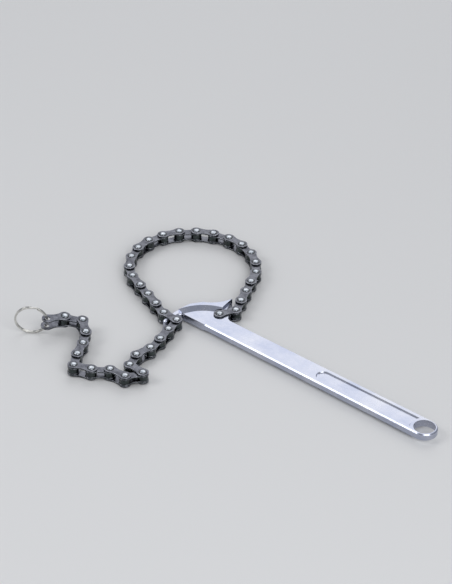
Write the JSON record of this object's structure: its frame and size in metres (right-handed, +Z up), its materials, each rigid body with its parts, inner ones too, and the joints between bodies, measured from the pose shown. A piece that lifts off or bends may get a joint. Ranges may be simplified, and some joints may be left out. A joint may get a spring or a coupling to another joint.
{
  "type": "chain oil filter wrench",
  "caption": "Flat forged handle with a hooked jaw and a roller chain that wraps round a canister and hooks back on the jaw, with a split ring at its loose end.",
  "frame": {"origin": "centre of the hanging hole, halfway through the handle's thickness", "axes": "+X along the handle towards the jaw, +Y to the side the hook points to, +Z up, square to the flat faces of the handle"},
  "size_m": [0.2963, 0.2009, 0.0236],
  "materials": {
    "forged_chrome": "satin chrome plate over forged steel",
    "outer_link_steel": "dark oiled steel",
    "inner_link_steel": "dark oiled steel",
    "ring_steel": "bright nickel plate"
  },
  "bodies": {
    "handle": {"handle": "forged_chrome"},
    "outer_link_01": {"outer_link_01": "outer_link_steel"},
    "inner_link_02": {"inner_link_02": "inner_link_steel"},
    "outer_link_03": {"outer_link_03": "outer_link_steel"},
    "inner_link_04": {"inner_link_04": "inner_link_steel"},
    "outer_link_05": {"outer_link_05": "outer_link_steel"},
    "inner_link_06": {"inner_link_06": "inner_link_steel"},
    "outer_link_07": {"outer_link_07": "outer_link_steel"},
    "inner_link_08": {"inner_link_08": "inner_link_steel"},
    "outer_link_09": {"outer_link_09": "outer_link_steel"},
    "inner_link_10": {"inner_link_10": "inner_link_steel"},
    "outer_link_11": {"outer_link_11": "outer_link_steel"},
    "inner_link_12": {"inner_link_12": "inner_link_steel"},
    "outer_link_13": {"outer_link_13": "outer_link_steel"},
    "inner_link_14": {"inner_link_14": "inner_link_steel"},
    "outer_link_15": {"outer_link_15": "outer_link_steel"},
    "inner_link_16": {"inner_link_16": "inner_link_steel"},
    "outer_link_17": {"outer_link_17": "outer_link_steel"},
    "inner_link_18": {"inner_link_18": "inner_link_steel"},
    "outer_link_19": {"outer_link_19": "outer_link_steel"},
    "inner_link_20": {"inner_link_20": "inner_link_steel"},
    "outer_link_21": {"outer_link_21": "outer_link_steel"},
    "inner_link_22": {"inner_link_22": "inner_link_steel"},
    "outer_link_23": {"outer_link_23": "outer_link_steel"},
    "inner_link_24": {"inner_link_24": "inner_link_steel"},
    "outer_link_25": {"outer_link_25": "outer_link_steel"},
    "inner_link_26": {"inner_link_26": "inner_link_steel"},
    "outer_link_27": {"outer_link_27": "outer_link_steel"},
    "inner_link_28": {"inner_link_28": "inner_link_steel"},
    "outer_link_29": {"outer_link_29": "outer_link_steel"},
    "inner_link_30": {"inner_link_30": "inner_link_steel"},
    "outer_link_31": {"outer_link_31": "outer_link_steel"},
    "inner_link_32": {"inner_link_32": "inner_link_steel"},
    "outer_link_33": {"outer_link_33": "outer_link_steel"},
    "inner_link_34": {"inner_link_34": "inner_link_steel"},
    "outer_link_35": {"outer_link_35": "outer_link_steel"},
    "inner_link_36": {"inner_link_36": "inner_link_steel"},
    "outer_link_37": {"outer_link_37": "outer_link_steel"},
    "inner_link_38": {"inner_link_38": "inner_link_steel"},
    "outer_link_39": {"outer_link_39": "outer_link_steel"},
    "split_ring": {"split_ring": "ring_steel"}
  },
  "joints": [
    {"name": "anchor_hinge", "type": "hinge", "parent": "handle", "child": "outer_link_01", "pos_m": [0.184, -0.0082, 0], "axis": [0, 0, 1], "range_deg": [-27.7, 0]},
    {"name": "loop_hinge_02", "type": "hinge", "parent": "outer_link_01", "child": "inner_link_02", "pos_m": [0.17853, -0.01966, 0], "axis": [0, 0, 1], "range_deg": [-10.8, 0]},
    {"name": "loop_hinge_03", "type": "hinge", "parent": "inner_link_02", "child": "outer_link_03", "pos_m": [0.18361, -0.0313, 0], "axis": [0, 0, 1], "range_deg": [0, 57.42]},
    {"name": "loop_hinge_04", "type": "hinge", "parent": "outer_link_03", "child": "inner_link_04", "pos_m": [0.18868, -0.04295, 0], "axis": [0, 0, 1], "range_deg": [-8.77, 0]},
    {"name": "loop_hinge_05", "type": "hinge", "parent": "inner_link_04", "child": "outer_link_05", "pos_m": [0.19376, -0.05459, 0], "axis": [0, 0, 1], "range_deg": [-11.35, 0]},
    {"name": "loop_hinge_06", "type": "hinge", "parent": "outer_link_05", "child": "inner_link_06", "pos_m": [0.19883, -0.06623, 0], "axis": [0, 0, 1], "range_deg": [0, 11.95]},
    {"name": "loop_hinge_07", "type": "hinge", "parent": "inner_link_06", "child": "outer_link_07", "pos_m": [0.20691, -0.07603, 0], "axis": [0, 0, 1], "range_deg": [0, 10.15]},
    {"name": "loop_hinge_08", "type": "hinge", "parent": "outer_link_07", "child": "inner_link_08", "pos_m": [0.21738, -0.08322, 0], "axis": [0, 0, 1], "range_deg": [0, 12]},
    {"name": "loop_hinge_09", "type": "hinge", "parent": "inner_link_08", "child": "outer_link_09", "pos_m": [0.22942, -0.08725, 0], "axis": [0, 0, 1], "range_deg": [0, 11.8]},
    {"name": "loop_hinge_10", "type": "hinge", "parent": "outer_link_09", "child": "inner_link_10", "pos_m": [0.24211, -0.08781, 0], "axis": [0, 0, 1], "range_deg": [-12.4, 0]},
    {"name": "loop_hinge_11", "type": "hinge", "parent": "inner_link_10", "child": "outer_link_11", "pos_m": [0.25446, -0.08485, 0], "axis": [0, 0, 1], "range_deg": [-12, 0]},
    {"name": "loop_hinge_12", "type": "hinge", "parent": "outer_link_11", "child": "inner_link_12", "pos_m": [0.26553, -0.07861, 0], "axis": [0, 0, 1], "range_deg": [0, 10.35]},
    {"name": "loop_hinge_13", "type": "hinge", "parent": "inner_link_12", "child": "outer_link_13", "pos_m": [0.27444, -0.06957, 0], "axis": [0, 0, 1], "range_deg": [-10.55, 0]},
    {"name": "loop_hinge_14", "type": "hinge", "parent": "outer_link_13", "child": "inner_link_14", "pos_m": [0.28052, -0.05842, 0], "axis": [0, 0, 1], "range_deg": [-29.72, 0]},
    {"name": "loop_hinge_15", "type": "hinge", "parent": "inner_link_14", "child": "outer_link_15", "pos_m": [0.2833, -0.04603, 0], "axis": [0, 0, 1], "range_deg": [-12.4, 0]},
    {"name": "loop_hinge_16", "type": "hinge", "parent": "outer_link_15", "child": "inner_link_16", "pos_m": [0.28255, -0.03335, 0], "axis": [0, 0, 1], "range_deg": [0, 11.8]},
    {"name": "loop_hinge_17", "type": "hinge", "parent": "inner_link_16", "child": "outer_link_17", "pos_m": [0.27835, -0.02136, 0], "axis": [0, 0, 1], "range_deg": [-12, 0]},
    {"name": "loop_hinge_18", "type": "hinge", "parent": "outer_link_17", "child": "inner_link_18", "pos_m": [0.27101, -0.011, 0], "axis": [0, 0, 1], "range_deg": [0, 11.59]},
    {"name": "loop_hinge_19", "type": "hinge", "parent": "inner_link_18", "child": "outer_link_19", "pos_m": [0.2611, -0.00306, 0], "axis": [0, 0, 1], "range_deg": [0, 11.95]},
    {"name": "loop_hinge_20", "type": "hinge", "parent": "outer_link_19", "child": "inner_link_20", "pos_m": [0.24938, 0.00185, 0], "axis": [0, 0, 1], "range_deg": [-11.35, 0]},
    {"name": "loop_hinge_21", "type": "hinge", "parent": "inner_link_20", "child": "outer_link_21", "pos_m": [0.23767, 0.00675, 0], "axis": [0, 0, 1], "range_deg": [0, 9.36]},
    {"name": "loop_hinge_22", "type": "hinge", "parent": "outer_link_21", "child": "inner_link_22", "pos_m": [0.22595, 0.01166, 0], "axis": [0, 0, 1], "range_deg": [-9.74, 0]},
    {"name": "loop_hinge_23", "type": "hinge", "parent": "inner_link_22", "child": "outer_link_23", "pos_m": [0.21424, 0.01656, 0], "axis": [0, 0, 1], "range_deg": [0, 10.42]},
    {"name": "tail_hinge_24", "type": "hinge", "parent": "outer_link_23", "child": "inner_link_24", "pos_m": [0.20156, 0.01734, 0], "axis": [0, 0, 1], "range_deg": [-3, 18]},
    {"name": "tail_hinge_25", "type": "hinge", "parent": "inner_link_24", "child": "outer_link_25", "pos_m": [0.19838, 0.02963, 0], "axis": [0, 0, 1], "range_deg": [-6, 18]},
    {"name": "tail_hinge_26", "type": "hinge", "parent": "outer_link_25", "child": "inner_link_26", "pos_m": [0.1952, 0.04193, 0], "axis": [0, 0, 1], "range_deg": [-6, 15]},
    {"name": "tail_hinge_27", "type": "hinge", "parent": "inner_link_26", "child": "outer_link_27", "pos_m": [0.19311, 0.05445, 0], "axis": [0, 0, 1], "range_deg": [-6, 21]},
    {"name": "tail_hinge_28", "type": "hinge", "parent": "outer_link_27", "child": "inner_link_28", "pos_m": [0.19476, 0.06705, 0], "axis": [0, 0, 1], "range_deg": [-6, 18]},
    {"name": "tail_hinge_29", "type": "hinge", "parent": "inner_link_28", "child": "outer_link_29", "pos_m": [0.19032, 0.07894, 0], "axis": [0, 0, 1], "range_deg": [-3, 21]},
    {"name": "tail_hinge_30", "type": "hinge", "parent": "outer_link_29", "child": "inner_link_30", "pos_m": [0.17764, 0.07972, 0], "axis": [0, 0, 1], "range_deg": [-6, 18]},
    {"name": "tail_hinge_31", "type": "hinge", "parent": "inner_link_30", "child": "outer_link_31", "pos_m": [0.18409, 0.09066, 0], "axis": [0, 0, 1], "range_deg": [-3, 18]},
    {"name": "tail_hinge_32", "type": "hinge", "parent": "outer_link_31", "child": "inner_link_32", "pos_m": [0.19675, 0.09166, 0], "axis": [0, 0, 1], "range_deg": [-3, 18]},
    {"name": "tail_hinge_33", "type": "hinge", "parent": "inner_link_32", "child": "outer_link_33", "pos_m": [0.20655, 0.09973, 0], "axis": [-0.0253, 0, 0.9997], "range_deg": [-6, 21]},
    {"name": "tail_hinge_34", "type": "hinge", "parent": "outer_link_33", "child": "inner_link_34", "pos_m": [0.21819, 0.1048, 0.0003], "axis": [-0.0253, 0, 0.9997], "range_deg": [-6, 24]},
    {"name": "tail_hinge_35", "type": "hinge", "parent": "inner_link_34", "child": "outer_link_35", "pos_m": [0.22501, 0.09409, 0.00064], "axis": [-0.0758, 0, 0.9971], "range_deg": [-6, 18]},
    {"name": "tail_hinge_36", "type": "hinge", "parent": "outer_link_35", "child": "inner_link_36", "pos_m": [0.23028, 0.08254, 0.00104], "axis": [-0.0758, 0, 0.9971], "range_deg": [-3, 21]},
    {"name": "tail_hinge_37", "type": "hinge", "parent": "inner_link_36", "child": "outer_link_37", "pos_m": [0.23746, 0.07209, 0.00177], "axis": [-0.1262, 0, 0.992], "range_deg": [-6, 15]},
    {"name": "tail_hinge_38", "type": "hinge", "parent": "outer_link_37", "child": "inner_link_38", "pos_m": [0.24748, 0.0644, 0.00304], "axis": [-0.1262, 0, 0.992], "range_deg": [-6, 24]},
    {"name": "tail_hinge_39", "type": "hinge", "parent": "inner_link_38", "child": "outer_link_39", "pos_m": [0.2581, 0.07117, 0.00467], "axis": [-0.1762, 0, 0.9843], "range_deg": [-3, 15]},
    {"name": "ring_swing", "type": "hinge", "parent": "outer_link_39", "child": "split_ring", "pos_m": [0.26375, 0.08249, 0.00568], "axis": [-0.1762, 0, 0.9843], "range_deg": [-6, 27]}
  ],
  "couplings": [
    {"joint": "loop_hinge_03", "follows": "anchor_hinge", "ratio": -2.073},
    {"joint": "loop_hinge_04", "follows": "loop_hinge_17", "ratio": 0.73116},
    {"joint": "loop_hinge_05", "follows": "loop_hinge_15", "ratio": 0.91529},
    {"joint": "loop_hinge_06", "follows": "loop_hinge_15", "ratio": -0.96387},
    {"joint": "loop_hinge_07", "follows": "loop_hinge_11", "ratio": -0.84606},
    {"joint": "loop_hinge_08", "follows": "loop_hinge_02", "ratio": -1.1111},
    {"joint": "loop_hinge_09", "follows": "loop_hinge_10", "ratio": -0.95142},
    {"joint": "loop_hinge_12", "follows": "loop_hinge_17", "ratio": -0.86255},
    {"joint": "loop_hinge_13", "follows": "loop_hinge_02", "ratio": 0.97728},
    {"joint": "loop_hinge_14", "follows": "anchor_hinge", "ratio": 1.0728},
    {"joint": "loop_hinge_16", "follows": "loop_hinge_15", "ratio": -0.95142},
    {"joint": "loop_hinge_18", "follows": "loop_hinge_11", "ratio": -0.96558},
    {"joint": "loop_hinge_19", "follows": "loop_hinge_10", "ratio": -0.96387},
    {"joint": "loop_hinge_20", "follows": "loop_hinge_10", "ratio": 0.91529},
    {"joint": "loop_hinge_21", "follows": "loop_hinge_02", "ratio": -0.86623},
    {"joint": "loop_hinge_22", "follows": "loop_hinge_11", "ratio": 0.81163},
    {"joint": "loop_hinge_23", "follows": "loop_hinge_17", "ratio": -0.86862}
  ]
}
